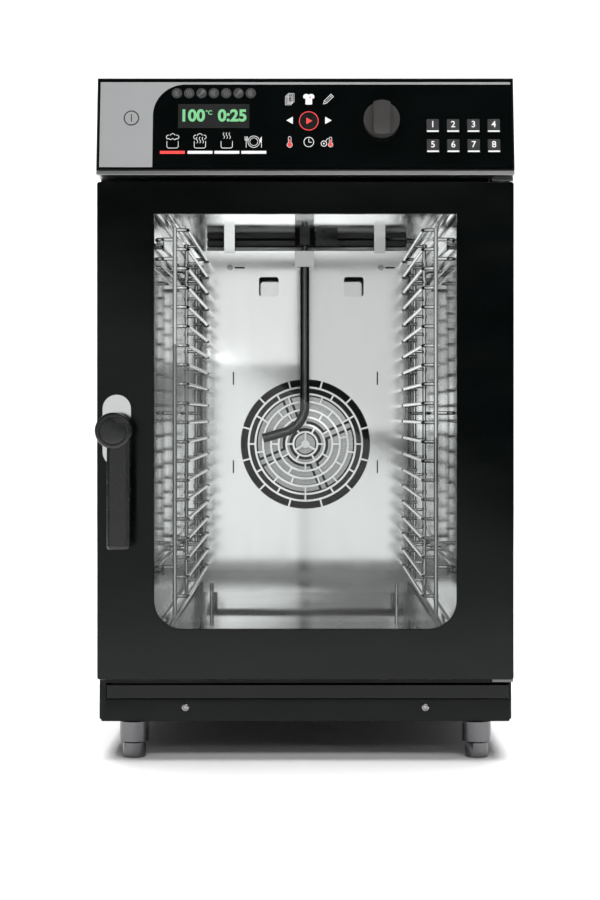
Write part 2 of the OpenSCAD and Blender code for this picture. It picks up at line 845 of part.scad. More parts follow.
// bracket that holds the pipe, the coupling nut under the ceiling and the temperature sensor
module pipe_fittings() {
    color("silver") difference() {
        block([-16, 13], [pipe_d - 11, baffle_d - eps], [653, 677]);
        bar_z(pipe_x, pipe_d, [650, 668], pipe_r);
        bar_z(pipe_x, pipe_d, [667, 680], riser_r);
    }
    color("dimgray") {
        difference() {
            translate([pipe_x, at(pipe_d), 686]) cylinder(r = 15, h = cavity_ceiling_z - 686, $fn = 6);
            bar_z(pipe_x, pipe_d, [680, 701], riser_r);
        }
        block([16, 49], [pipe_d, pipe_d + 14], [686, cavity_ceiling_z]);
        bar_y(28, 690, 3, [pipe_d - 16, pipe_d]);
    }
}

function spacer_z(rung) = rung_z0 + (rung + 0.5) * rung_pitch;

// a wire bent to a flat U: two legs from near x_post, and a long run along x_run
module bent_wire(x_post, x_run, z) {
    bend_r = 10;
    way = x_run < x_post ? -1 : 1;
    leg_d = [post_d[0] + weld, post_d[2] - weld];
    corner_x = x_run - way * bend_r;
    for (k = [0, 1]) {
        bar_x(way < 0 ? [corner_x, x_post + 4] : [x_post - 4, corner_x], leg_d[k], z, wire_r);
        translate([corner_x, at(leg_d[k]) + (k == 0 ? bend_r : -bend_r), z])
            rotate(way < 0 ? (k == 0 ? 180 : 90) : (k == 0 ? -90 : 0))
                rotate_extrude(angle = 90) translate([bend_r, 0]) circle(wire_r);
    }
    bar_y(x_run, z, wire_r, [leg_d[0] + bend_r, leg_d[1] - bend_r]);
}

// the right-hand rack: posts, spacers to the wall, and rungs that carry the trays
module rack() {
    post_z = [173, 667.5];
    for (depth = post_d) bar_z(post_x, depth, post_z, post_r);
    for (n = [0:rung_count - 1]) {
        bent_wire(post_x, rung_x, rung_z0 + n * rung_pitch);
        bar_x([rung_x, post_x + 4], post_d[1] + weld, rung_z0 + n * rung_pitch, wire_r - 0.2);
    }
    for (rung = spacer_rungs) bent_wire(post_x, spacer_x, spacer_z(rung));
}

module rack_right() {
    color("gainsboro") rack();
}

module rack_left() {
    color("gainsboro") mirror([1, 0, 0]) rack();
}

// ---- connections ----

module drain_pipe() {
    bore_r = tube_r - tube_wall;
    sieve_r = bore_r;
    color("gray") difference() {
        union() {
            bar_z(drain_x, drain_d, [drain_z, cavity_floor_z], tube_r);
            bar_y(drain_x, drain_z, tube_r, [drain_d, body_d]);
            bar_y(drain_x, drain_z, spigot_r, [body_d - 18, body_d]);
            translate([drain_x, at(drain_d), drain_z]) sphere(tube_r);
        }
        bar_z(drain_x, drain_d, [drain_z, cavity_floor_z + 1], bore_r);
        bar_y(drain_x, drain_z, bore_r, [drain_d, body_d + 1]);
        translate([drain_x, at(drain_d), drain_z]) sphere(bore_r);
    }
    // perforated sieve in the drain's mouth
    color("silver") translate([drain_x, at(drain_d), cavity_floor_z - 1.5]) linear_extrude(1.5) difference() {
        circle(sieve_r);
        for (k = [0:11]) rotate(30 * k) translate([16, 0]) circle(2.5);
        for (k = [0:5]) rotate(60 * k) translate([8, 0]) circle(2.5);
    }
}

module exhaust_pipe() {
    stub_h = 10.5;
    spigot_h = 8.5;
    color("gray") difference() {
        union() {
            bar_z(exhaust_x, exhaust_d, [cavity_ceiling_z, cover_z + stub_h], tube_r);
            bar_z(exhaust_x, exhaust_d, [cover_z + stub_h - spigot_h, cover_z + stub_h], spigot_r);
        }
        bar_z(exhaust_x, exhaust_d, [cavity_ceiling_z - 1, cover_z + stub_h + 1], tube_r - tube_wall);
    }
}

// threaded inlet on the rear, solenoid valve and the line to the injection pipe
module water_inlet() {
    valve_d = [690, 730];
    line_r = 4;
    color("peru") difference() {
        union() {
            bar_y(inlet_x, inlet_z, inlet_r - 1, [valve_d[1], body_d]);
            bar_y(inlet_x, inlet_z, inlet_r, [body_d - 17, body_d]);
        }
        bar_y(inlet_x, inlet_z, 8, [valve_d[1] + 4, body_d + 1]);
    }
    color("black") block([inlet_x - 20, inlet_x + 20], valve_d, [inlet_z - 18, inlet_z + 40]);
    color("peru") {
        bar_y(inlet_x, inlet_z, line_r, [pipe_d, valve_d[0]]);
        bar_x([inlet_x, pipe_x + riser_r + 3], pipe_d, inlet_z, line_r);
        translate([inlet_x, at(pipe_d), inlet_z]) sphere(line_r);
        bar_z(pipe_x, pipe_d, [750, inlet_z + 5], riser_r + 3);
    }
}

module cable_gland() {
    flange_r = 17;
    color("dimgray") difference() {
        union() {
            bar_y(gland_x, gland_z, gland_r + 5, [rear_panel_d - 8, body_d - 4]);
            translate([gland_x, at(rear_panel_d + 2 + 8), gland_z])
                rotate([90, 0, 0]) cylinder(r = flange_r, h = 8, $fn = 6);
        }
        bar_y(gland_x, gland_z, gland_r, [rear_panel_d - 9, body_d]);
    }
}

// ---- feet and screws ----

module foot_sleeves() {
    color("silver") for (side = [-1, 1], depth = foot_d)
        difference() {
            bar_z(side * foot_x, depth, [foot_h + clear, base_z], 18);
            bar_z(side * foot_x, depth, [foot_h, base_z + 1], stem_r + run);
        }
}

module foot(n) {
    side = n % 2 == 1 ? -1 : 1;
    depth = foot_d[n > 2 ? 1 : 0];
    color("gray") {
        bar_z(side * foot_x, depth, [0, foot_h], foot_r);
        bar_z(side * foot_x, depth, [foot_h - eps, base_z + 24], stem_r);
    }
}

module casing_screws() {
    panel_screw = [203, 720.9, 3.3]; // x, height and radius of the heads above the door
    color("silver") {
        for (side = [-1, 1]) {
            bar_y(side * 150, 63.4, 5, [rim_d - 2.5, rim_d]);
            bar_y(side * 150, 63.4, 2.6, [rim_d, rim_d + 10]);
            bar_y(side * panel_screw[0], panel_screw[1], panel_screw[2], [recess_d - 2.5, recess_d]);
        }
        for (side = [-1, 1], z = [70, 260, 560, 820])
            bar_y(side * 240, z, 4, [rear_panel_d + sheet, rear_panel_d + sheet + 2.5]);
    }
}

base_pan();
front_rim();
drip_tray();
side_panel(-1);  // side_panel_left
side_panel(1);  // side_panel_right
top_cover();
rear_panel();
front_frame();
cavity_liner();
insulation();
door_seal();
control_housing();
trim_strip();
fascia();
fascia_inlay();
display_windows();
control_board();
knob();
power_button();
start_button();
hinge_brackets();
hinge_pins();
door_front();
outer_pane();
door_shell();
inner_pane();
pane_clips();
hinge_bushes();
rosette();
handle_lever();
latch_spindle();
strike();
fan_baffle();
cavity_fittings();
fan_wheel();
fan_shaft();
fan_motor();
heating_element();
injection_pipe();
pipe_fittings();
rack_left();
rack_right();
drain_pipe();
exhaust_pipe();
water_inlet();
cable_gland();
foot_sleeves();
casing_screws();
for (n = [1:key_count])
    quick_key(n);
for (n = [1:4])
    foot(n);
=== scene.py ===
import json
import math
from itertools import product

import bmesh
import bpy
from mathutils import Matrix, Vector


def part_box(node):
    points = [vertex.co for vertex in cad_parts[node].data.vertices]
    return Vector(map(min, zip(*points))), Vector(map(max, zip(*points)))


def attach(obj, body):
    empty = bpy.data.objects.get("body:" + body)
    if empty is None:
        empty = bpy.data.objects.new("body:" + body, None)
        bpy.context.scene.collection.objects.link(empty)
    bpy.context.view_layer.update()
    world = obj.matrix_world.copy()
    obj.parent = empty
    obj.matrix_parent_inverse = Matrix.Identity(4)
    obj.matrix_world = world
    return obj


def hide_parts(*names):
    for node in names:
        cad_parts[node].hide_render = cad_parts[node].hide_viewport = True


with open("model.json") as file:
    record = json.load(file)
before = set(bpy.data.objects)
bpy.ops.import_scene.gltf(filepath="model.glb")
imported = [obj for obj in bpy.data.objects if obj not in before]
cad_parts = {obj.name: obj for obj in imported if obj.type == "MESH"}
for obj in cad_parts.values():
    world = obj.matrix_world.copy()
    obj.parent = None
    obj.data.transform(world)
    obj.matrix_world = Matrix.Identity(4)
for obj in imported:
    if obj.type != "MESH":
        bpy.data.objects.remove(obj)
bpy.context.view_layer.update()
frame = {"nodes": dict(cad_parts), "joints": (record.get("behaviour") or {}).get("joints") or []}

MM = 0.001  # metres in a millimetre
NODES = frame["nodes"]
TURNED_SIDES = 64  # sides of a turned body

# ---- places taken from the frame ----


def joint(name):
    """The place and the unit axis of a joint."""
    found = next(one for one in frame["joints"] if one["name"] == name)
    return Vector(found["pos_m"]), Vector(found["axis"]).normalized()


FRONT_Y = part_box("door_front")[0].y
BAFFLE_FACE_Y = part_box("fan_baffle")[1].y
BAFFLE_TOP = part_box("fan_baffle")[1].z
PANEL_POINT, PANEL_IN = joint("knob_turn")
PANEL_UP = PANEL_IN.cross(Vector((-1, 0, 0)))
if PANEL_UP.z < 0:
    PANEL_UP = -PANEL_UP


def on_panel(x, z, out=0.0):
    """A point on the control panel's front, at x and at height z in mm, moved out of it by out mm."""
    rise = (z * MM - PANEL_POINT.z) / PANEL_UP.z
    return Vector((x * MM, PANEL_POINT.y, PANEL_POINT.z)) + PANEL_UP * rise - PANEL_IN * out * MM


# ---- materials ----


class Shader:
    """A Principled material and short calls that wire patterns into it."""

    def __init__(self, name, color, metallic=0.0, roughness=0.5, specular=0.5):
        self.material = bpy.data.materials.new(name)
        self.material.use_nodes = True
        self.tree = self.material.node_tree
        self.bsdf = self.tree.nodes["Principled BSDF"]
        self.bsdf.inputs["Base Color"].default_value = (*color, 1)
        self.bsdf.inputs["Metallic"].default_value = metallic
        self.bsdf.inputs["Roughness"].default_value = roughness
        self.bsdf.inputs["Specular IOR Level"].default_value = specular
        self.normal = None

    def node(self, kind, **values):
        """Adds a shader node; each value sets a socket or else a property of that name."""
        made = self.tree.nodes.new(kind)
        for key, value in values.items():
            if key in made.inputs:
                made.inputs[key].default_value = value
            else:
                setattr(made, key, value)
        return made

    def link(self, start, end):
        """Joins two sockets."""
        self.tree.links.new(start, end)

    def noise(self, scale, stretch=(1, 1, 1), detail=3.0, rough=0.55):
        """Noise over object space; scale counts features per metre, stretch squeezes each axis."""
        place = self.node("ShaderNodeTexCoord")
        spread = self.node("ShaderNodeMapping")
        spread.inputs["Scale"].default_value = stretch
        grain = self.node("ShaderNodeTexNoise", Scale=scale, Detail=detail, Roughness=rough)
        self.link(place.outputs["Object"], spread.inputs["Vector"])
        self.link(spread.outputs["Vector"], grain.inputs["Vector"])
        return grain.outputs["Fac"]

    def span(self, value, low, high, start=0.3, end=0.7):
        """Maps a pattern to the range low..high."""
        reach = self.node("ShaderNodeMapRange")
        reach.inputs["From Min"].default_value = start
        reach.inputs["From Max"].default_value = end
        reach.inputs["To Min"].default_value = low
        reach.inputs["To Max"].default_value = high
        self.link(value, reach.inputs["Value"])
        return reach.outputs["Result"]

    def vary_roughness(self, value, low, high):
        """Lets the roughness follow a pattern."""
        self.link(self.span(value, low, high), self.bsdf.inputs["Roughness"])
        return self

    def vary_color(self, value, dark, light):
        """Lets the colour follow a pattern."""
        blend = self.node("ShaderNodeMix", data_type="RGBA")
        blend.inputs[6].default_value = (*dark, 1)
        blend.inputs[7].default_value = (*light, 1)
        self.link(self.span(value, 0, 1), blend.inputs[0])
        self.link(blend.outputs[2], self.bsdf.inputs["Base Color"])
        return self

    def bump(self, value, strength, distance):
        """Adds relief on top of any that is there already."""
        relief = self.node("ShaderNodeBump", Strength=strength, Distance=distance)
        self.link(value, relief.inputs["Height"])
        if self.normal:
            self.link(self.normal, relief.inputs["Normal"])
        self.normal = relief.outputs["Normal"]
        self.link(self.normal, self.bsdf.inputs["Normal"])
        return self

    def glow(self, color, strength):
        """Gives off light of a colour."""
        self.bsdf.inputs["Emission Color"].default_value = (*color, 1)
        self.bsdf.inputs["Emission Strength"].default_value = strength
        return self


def brushed(name, color, along, rough=(0.24, 0.36), relief=0.05):
    """Brushed steel whose grain runs along x, y or z."""
    stretch = tuple(0.02 if axis == along else 1.0 for axis in "xyz")
    made = Shader(name, color, metallic=1.0)
    grain = made.noise(1400, stretch, 4.0)
    patches = made.noise(9, (1, 1, 1), 2.0)
    made.vary_roughness(grain, *rough)
    made.vary_color(patches, tuple(c * 0.9 for c in color), color)
    made.bump(grain, relief, 0.0002)
    return made.material


def polished(name, color, rough=(0.07, 0.2), ripple=0.12, ripple_scale=7):
    """Polished sheet steel: slow ripples from rolling, fine upright grain and faint water marks."""
    made = Shader(name, color, metallic=1.0)
    marks = made.noise(11, (1, 1, 0.5), 4.0, 0.5)
    made.vary_roughness(marks, *rough)
    made.vary_color(made.noise(26, (1, 1, 0.3), 3.0), tuple(c * 0.96 for c in color), color)
    made.bump(made.noise(ripple_scale, (1, 1, 0.4), 1.0), ripple, 0.004)
    made.bump(made.noise(900, (1, 1, 0.03), 2.0), 0.04, 0.0001)
    return made.material


def gloss_black(name, color=(0.0012, 0.0019, 0.0018), specular=0.22):
    """Black printed glass: deep, smooth, with a trace of wipe marks in the gloss."""
    made = Shader(name, color, roughness=0.1, specular=specular)
    smears = made.noise(6, (1, 1, 3), 4.0, 0.6)
    made.vary_roughness(smears, 0.1, 0.19)
    made.vary_color(made.noise(30), color, tuple(c * 1.35 for c in color))
    made.bump(made.noise(3), 0.03, 0.002)
    return made.material


def silver_film(name, color):
    """Printed silver film: half metal, with a fine grain along x."""
    made = Shader(name, color, metallic=0.4, roughness=0.5)
    grain = made.noise(1600, (0.03, 1, 1), 3.0)
    made.vary_roughness(grain, 0.44, 0.54)
    made.vary_color(made.noise(14), tuple(c * 0.97 for c in color), color)
    made.bump(grain, 0.02, 0.0001)
    return made.material


def powder_coat(name, color=(0.004, 0.0048, 0.0046)):
    """Fine orange-peel powder coat."""
    made = Shader(name, color, roughness=0.34, specular=0.18)
    peel = made.noise(900, (1, 1, 1), 2.0)
    made.vary_roughness(made.noise(24, (1, 1, 1), 4.0), 0.28, 0.42)
    made.vary_color(made.noise(12), color, tuple(c * 1.4 for c in color))
    made.bump(peel, 0.12, 0.0002)
    return made.material


def moulded(name, color, rough=(0.3, 0.44), grain_scale=2600, relief=0.12):
    """Moulded plastic with a fine spark-eroded grain."""
    made = Shader(name, color, roughness=0.35)
    made.vary_roughness(made.noise(60, (1, 1, 1), 4.0), *rough)
    made.vary_color(made.noise(35), tuple(c * 0.85 for c in color), tuple(c * 1.15 for c in color))
    made.bump(made.noise(grain_scale, (1, 1, 1), 1.0), relief, 0.0001)
    return made.material


def clear_glass(name):
    """Thin clear pane: lets light straight through and mirrors a little at the front."""
    material = bpy.data.materials.new(name)
    material.use_nodes = True
    tree = material.node_tree
    tree.nodes.clear()
    out = tree.nodes.new("ShaderNodeOutputMaterial")
    mix = tree.nodes.new("ShaderNodeMixShader")
    see = tree.nodes.new("ShaderNodeBsdfTransparent")
    gloss = tree.nodes.new("ShaderNodeBsdfGlossy")
    fresnel = tree.nodes.new("ShaderNodeFresnel")
    see.inputs["Color"].default_value = (0.985, 0.99, 0.988, 1)
    gloss.inputs["Roughness"].default_value = 0.02
    fresnel.inputs["IOR"].default_value = 1.3
    tree.links.new(fresnel.outputs["Fac"], mix.inputs["Fac"])
    tree.links.new(see.outputs["BSDF"], mix.inputs[1])
    tree.links.new(gloss.outputs["BSDF"], mix.inputs[2])
    tree.links.new(mix.outputs["Shader"], out.inputs["Surface"])
    return material


def lamp(name, color, strength, body=(0.02, 0.02, 0.02)):
    """A lamp that gives off light of its own, or a printed mark brightened by a painted glow."""
    made = Shader(name, body, roughness=0.4)
    made.glow(color, strength)
    made.vary_roughness(made.noise(300), 0.3, 0.5)
    return made.material


def wool(name):
    """Yellowish mineral wool with long matted fibres."""
    made = Shader(name, (0.5, 0.44, 0.25), roughness=0.95)
    fibres = made.noise(420, (0.2, 1, 1), 6.0, 0.7)
    made.vary_color(fibres, (0.34, 0.3, 0.16), (0.6, 0.54, 0.32))
    made.bump(fibres, 0.8, 0.002)
    return made.material


MATERIALS = {
    # sheet steel of the cavity and the fan
    "liner": polished("cavity_steel", (0.8, 0.805, 0.8), (0.04, 0.09), 0.1, 5),
    "baffle": polished("baffle_steel", (0.9, 0.905, 0.9), (0.06, 0.11), 0.05, 4),
    "fan": brushed("fan_steel", (0.66, 0.665, 0.66), "y", (0.24, 0.32), 0.02),
    "clip": brushed("clip_steel", (0.24, 0.245, 0.24), "x", (0.4, 0.5), 0.02),
    "bracket": brushed("bracket_steel", (0.72, 0.725, 0.72), "x", (0.3, 0.4), 0.02),
    # dark steel for painted shade: the band over the baffle, the fan wheel behind its slots, the plate
    # behind the fan and the pipe fittings above the baffle
    "shadow": brushed("painted_shade_steel", (0.06, 0.06, 0.062), "z", (0.4, 0.5), 0.03),
    "lip": silver_film("lip_steel", (0.85, 0.855, 0.85)),
    # every other metal
    "trim": brushed("trim_steel", (0.36, 0.36, 0.36), "x", (0.28, 0.36), 0.02),
    "wire": polished("electropolished_wire", (0.62, 0.625, 0.62), (0.04, 0.08), 0.02, 40),
    "chrome": polished("polished_plate", (0.78, 0.785, 0.785), (0.05, 0.12), 0.03, 12),
    "dark_steel": polished("dark_steel", (0.12, 0.12, 0.124), (0.1, 0.18), 0.03, 30),
    "flange": brushed("flange_steel", (0.72, 0.725, 0.72), "z"),
    "screw": brushed("screw_steel", (0.3, 0.3, 0.3), "y", (0.14, 0.24), 0.02),
    "rear": brushed("rear_steel", (0.26, 0.265, 0.26), "z", (0.36, 0.48), 0.05),
    "top": silver_film("top_steel", (0.3, 0.305, 0.3)),
    "inlay": silver_film("inlay_film", (0.45, 0.455, 0.46)),
    "foot": brushed("turned_steel", (0.15, 0.15, 0.155), "x", (0.18, 0.3), 0.03),
    "brass": brushed("brass_fitting", (0.72, 0.5, 0.22), "z", (0.25, 0.4), 0.04),
    # paint, glass, plastic, rubber and wool
    "gloss": gloss_black("black_glass"),
    "powder": powder_coat("black_powder_coat"),
    "plastic": moulded("black_plastic", (0.0065, 0.007, 0.007), (0.22, 0.32)),
    "knob": moulded("knob_plastic", (0.04, 0.038, 0.037), (0.3, 0.42)),
    "key": moulded("key_plastic", (0.035, 0.035, 0.037), (0.34, 0.46)),
    "rubber": moulded("seal_rubber", (0.02, 0.02, 0.02), (0.6, 0.75), 1500, 0.2),
    "glass": clear_glass("pane_glass"),
    "display": moulded("display_pane", (0.02, 0.021, 0.0205), (0.12, 0.2), 800, 0.02),
    "board": moulded("solder_mask", (0.01, 0.09, 0.03), (0.3, 0.5), 500, 0.3),
    "wool": wool("mineral_wool"),
    "motor": moulded("motor_paint", (0.05, 0.055, 0.06), (0.4, 0.55), 700, 0.3),
    # printed marks brightened by a painted glow, and lamps
    # white print and the white lamp bars carry a painted glow
    "white_mark": lamp("white_print_glow", (0.9, 0.9, 0.9), 0.35, (0.6, 0.6, 0.6)),
    # grey print and the grey discs carry a painted glow
    "grey_mark": lamp("grey_print_glow", (0.3, 0.3, 0.3), 0.3, (0.12, 0.12, 0.12)),
    "grey_disc_glow": lamp("grey_disc_glow", (0.3, 0.3, 0.3), 0.06, (0.03, 0.03, 0.03)),
    # red print carries a painted glow; on the lit first lamp bar the glow is the lamp's own light
    "red_mark": lamp("red_print_glow", (0.8, 0.07, 0.06), 0.6, (0.6, 0.04, 0.04)),
    "green_glow": lamp("green_digits", (0.22, 0.66, 0.3), 1.0),
    "black_print": moulded("black_print", (0.02, 0.02, 0.02), (0.4, 0.5)),
}


# ---- making pieces ----


def add_piece(name, mesh, body, material):
    """Links a finished mesh as a piece of the object that rides on a body."""
    piece = bpy.data.objects.new(name, mesh)
    bpy.context.scene.collection.objects.link(piece)
    mesh.materials.append(MATERIALS[material])
    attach(piece, body)
    return piece


def smooth(mesh, angle=35):
    """Smooth shading with sharp edges kept past an angle."""
    mesh.polygons.foreach_set("use_smooth", [True] * len(mesh.polygons))
    mesh.set_sharp_from_angle(angle=math.radians(angle))


def welded(mesh, flat=0.8):
    """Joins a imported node's split corners and merges its flat triangles into whole faces."""
    work = bmesh.new()
    work.from_mesh(mesh)
    bmesh.ops.remove_doubles(work, verts=work.verts, dist=2e-6)
    bmesh.ops.dissolve_limit(work, angle_limit=math.radians(flat), verts=work.verts, edges=work.edges)
    return work


def rounded(node, width, material, body, segments=3, angle=40):
    """Stands for a CAD node: the same solid with its sharp edges rounded by width mm."""
    work = welded(NODES[node].data)
    mesh = bpy.data.meshes.new(node + "_rounded")
    work.to_mesh(mesh)
    work.free()
    piece = add_piece(node + "_rounded", mesh, body, material)
    bevel = piece.modifiers.new("Round", "BEVEL")
    bevel.width = width * MM
    bevel.segments = segments
    bevel.limit_method = "ANGLE"
    bevel.angle_limit = math.radians(angle)
    bevel.harden_normals = True
    bevel.miter_outer = "MITER_ARC"
    smooth(mesh, 60)
    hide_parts(node)
    return piece


def finish_node(node, material):
    """Gives a kept CAD node its material and smooth shading."""
    data = NODES[node].data
    data.materials.clear()
    data.materials.append(MATERIALS[material])
    data.polygons.foreach_set("use_smooth", [True] * len(data.polygons))
    data.set_sharp_from_angle(angle=math.radians(30))


def lathe(work, profile, place, axis, sides=TURNED_SIDES):
    """Adds a turned body to a bmesh. The profile is (radius, height) in mm along the axis from place."""
    axis = Vector(axis).normalized()
    side = axis.orthogonal().normalized()
    other = axis.cross(side)
    rings = []
    for radius, height in profile:
        middle = Vector(place) + axis * height * MM
        if radius == 0:
            rings.append([work.verts.new(middle)])
            continue
        turns = [2 * math.pi * k / sides for k in range(sides)]
        rings.append([work.verts.new(middle + (side * math.cos(t) + other * math.sin(t)) * radius * MM)
                      for t in turns])
    for low, high in zip(rings, rings[1:]):
        for k in range(sides):
            following = (k + 1) % sides
            if len(low) == 1 and len(high) == 1:
                continue
            if len(low) == 1:
                corners = [low[0], high[following], high[k]]
            elif len(high) == 1:
                corners = [low[k], low[following], high[0]]
            else:
                corners = [low[k], low[following], high[following], high[k]]
            work.faces.new(corners)


def block(name, lo, hi, material, body, edge=1.0, segments=3):
    """A block between two corners in metres, with edges rounded by edge mm."""
    work = bmesh.new()
    sides = zip(lo, hi)
    corners = [work.verts.new(corner) for corner in product(*sides)]
    bmesh.ops.convex_hull(work, input=corners)
    bmesh.ops.dissolve_limit(work, angle_limit=0.02, verts=work.verts, edges=work.edges)
    piece = add_piece(name, close(work, name, 60), body, material)
    bevel = piece.modifiers.new("Round", "BEVEL")
    bevel.width = edge * MM
    bevel.segments = segments
    bevel.harden_normals = True


def close(work, name, angle=35):
    """Turns a bmesh into a mesh with outward normals."""
    bmesh.ops.recalc_face_normals(work, faces=work.faces)
    mesh = bpy.data.meshes.new(name)
    work.to_mesh(mesh)
    work.free()
    smooth(mesh, angle)
    return mesh


# ---- printed marks on the control panel ----

PEN = 0.62  # width of an outline sign's stroke in mm
THIN = 0.45  # width of a thin stroke in mm


class Print:
    """Flat marks that lie on the control panel, built from outlines in mm (x to the right, z up).

    Their front stands out mm proud of the panel, and they are thick mm thick.
    """

    def __init__(self, out=0.12, thick=0.1):
        self.work = bmesh.new()
        self.out = out
        self.thick = thick

    def outline(self, points):
        """A filled outline with a little thickness."""
        front = [self.work.verts.new(on_panel(x, z, self.out)) for x, z in points]
        back = [self.work.verts.new(on_panel(x, z, self.out - self.thick)) for x, z in points]
        self.work.faces.new(front)
        self.work.faces.new(back[::-1])
        for k in range(len(points)):
            j = (k + 1) % len(points)
            self.work.faces.new([front[k], back[k], back[j], front[j]])

    def box(self, x0, z0, x1, z1):
        """A filled rectangle between two corners."""
        self.outline([(x0, z0), (x1, z0), (x1, z1), (x0, z1)])

    def disc(self, x, z, radius, sides=40):
        """A filled circle."""
        turns = [2 * math.pi * k / sides for k in range(sides)]
        self.outline([(x + radius * math.cos(t), z + radius * math.sin(t)) for t in turns])

    def arc(self, x, z, radius, width, start=0, end=360, sides=48):
        """A bent stroke round a centre, made of short pieces."""
        steps = max(4, int(sides * (end - start) / 360))
        inner, outer = radius - width / 2, radius + width / 2
        for k in range(steps):
            a = math.radians(start + (end - start) * k / steps)
            b = math.radians(start + (end - start) * (k + 1) / steps)
            self.outline([(x + inner * math.cos(a), z + inner * math.sin(a)),
                          (x + outer * math.cos(a), z + outer * math.sin(a)),
                          (x + outer * math.cos(b), z + outer * math.sin(b)),
                          (x + inner * math.cos(b), z + inner * math.sin(b))])

    def stroke(self, points, width):
        """A bent line made of straight pieces."""
        for (x0, z0), (x1, z1) in zip(points, points[1:]):
            half = width / 2 / math.hypot(x1 - x0, z1 - z0)
            dx, dz = (x1 - x0) * half, (z1 - z0) * half
            self.outline([(x0 - dx - dz, z0 - dz + dx), (x0 - dx + dz, z0 - dz - dx),
                          (x1 + dx + dz, z1 + dz - dx), (x1 + dx - dz, z1 + dz + dx)])

    def steam(self, x, z, height, width=0.55):
        """One rising S-shaped curl."""
        curl = [(x + 0.9 * math.sin(t * 2 * math.pi), z + t * height) for t in [k / 8 for k in range(9)]]
        self.stroke(curl, width)

    def done(self, name, material, body="cabinet", slot="display_glass"):
        """Makes the marks into a piece."""
        add_piece(name, close(self.work, name), body, material)


def letters(name, words, x, z, height, material, body, out=0.2, bold=0.012):
    """Digits in the built-in font, as a thin mesh on the panel. x and z give their middle in mm."""
    curve = bpy.data.curves.new(name, "FONT")
    curve.body = words
    curve.align_x = "CENTER"
    curve.align_y = "CENTER"
    curve.size = height * MM / 0.7
    curve.extrude = 0.05 * MM
    curve.offset = bold * height * MM
    text = bpy.data.objects.new(name, curve)
    bpy.context.scene.collection.objects.link(text)
    right = Vector((1, 0, 0))
    place = on_panel(x, z, out)
    lie = Matrix((right, PANEL_UP, -PANEL_IN)).transposed().to_4x4()
    text.matrix_world = Matrix.Translation(place) @ lie
    bpy.context.view_layer.update()
    mesh = bpy.data.meshes.new_from_object(text.evaluated_get(bpy.context.evaluated_depsgraph_get()))
    mesh.transform(text.matrix_world)
    mesh.materials.clear()
    bpy.data.objects.remove(text)
    add_piece(name, mesh, body, material)


def pot(ink, x, z):
    """A cooking pot in outline: 14 mm wide, open above, with rounded lower corners at z."""
    half, rim, bend = 7.0, 8.4, 2.4
    ink.stroke([(x - half, z + rim), (x - half, z + bend)], PEN)
    ink.arc(x - half + bend, z + bend, bend, PEN, 180, 270)
    ink.stroke([(x - half + bend, z), (x + half - bend, z)], PEN)
    ink.arc(x + half - bend, z + bend, bend, PEN, 270, 360)
    ink.stroke([(x + half, z + bend), (x + half, z + rim)], PEN)


def cloud(ink, x, z, closed=True):
    """The outline of a cloud of steam: a high bump between two low ones, and a waved underside."""
    ink.arc(x, z + 2.6, 3.3, PEN, 20, 160)
    for start, side in ((75, -1), (-90, 1)):
        ink.arc(x + side * 5.2, z + 1.6, 2.5, PEN, start, start + 195)
    if closed:
        wave = [(x - 5.2 + 10.4 * k / 12, z - 0.9 + 0.7 * math.cos(k * math.pi / 3)) for k in range(13)]
        ink.stroke(wave, PEN)


def mode_icons(ink):
    """Four outline icons above the lamp bars: pot in a cloud, steaming pot in a cloud, steam, plate."""
    cloud_x, mixed_x, steam_x, plate_x = -163.8, -130.1, -97.0, -63.6
    base_z, steam_z, plate_z = 758.0, 769.4, 766.0
    for x in (cloud_x, mixed_x, steam_x):
        pot(ink, x, base_z)
    cloud(ink, cloud_x, steam_z + 0.8)
    cloud(ink, mixed_x, steam_z + 0.8, closed=False)
    for shift in (-3.6, 0, 3.6):
        ink.steam(mixed_x + shift, base_z + 6.4, 7.4)
        ink.steam(steam_x + shift, steam_z + 0.6, 7.4)
    for radius, width in ((7.2, PEN), (4.9, 0.5)):
        ink.arc(plate_x, plate_z, radius, width)
    fork_x, knife_x = plate_x - 9.4, plate_x + 9.4
    ink.stroke([(fork_x, base_z + 1), (fork_x, base_z + 10)], PEN)
    for shift in (-1.5, 0, 1.5):
        ink.stroke([(fork_x + shift, base_z + 10), (fork_x + shift, base_z + 14.4)], 0.6)
    ink.stroke([(fork_x - 1.5, base_z + 10), (fork_x + 1.5, base_z + 10)], 0.6)
    ink.stroke([(knife_x, base_z + 1), (knife_x, base_z + 14)], PEN)
    ink.outline([(knife_x - 1.7, base_z + 7), (knife_x, base_z + 7), (knife_x, base_z + 14.4),
                 (knife_x - 1.5, base_z + 12)])


def pages(ink, x, z):
    """Three sheets, one behind the other, with lines of writing on the front one."""
    for shift in (0, 1.7, 3.4):
        lo_x, hi_x = x - 5.4 + shift, x + 1.8 + shift
        lo_z, hi_z = z - 7 + shift, z + 4 + shift
        ink.stroke([(lo_x, lo_z), (hi_x, lo_z), (hi_x, hi_z), (lo_x, hi_z), (lo_x, lo_z)], THIN)
    for rise in (-4.6, -2.2, 0.2, 2.4):
        ink.stroke([(x - 3.8, z + rise), (x + 0.4, z + rise)], THIN)


def jacket(ink, x, z):
    """A cook's jacket with short sleeves and a waved hem."""
    hem = [(0, -6.8), (3.4, -6.6), (4.2, -6.0)]
    sleeve = [(4.2, 1.2), (6.4, 0.9), (7.0, 4.2)]
    collar = [(5.2, 6.4), (2.0, 6.8), (0, 5.6)]
    right = hem + sleeve + collar
    left = [(-dx, dz) for dx, dz in right[-2:0:-1]]
    ink.outline([(x + dx, z + dz) for dx, dz in right + left])


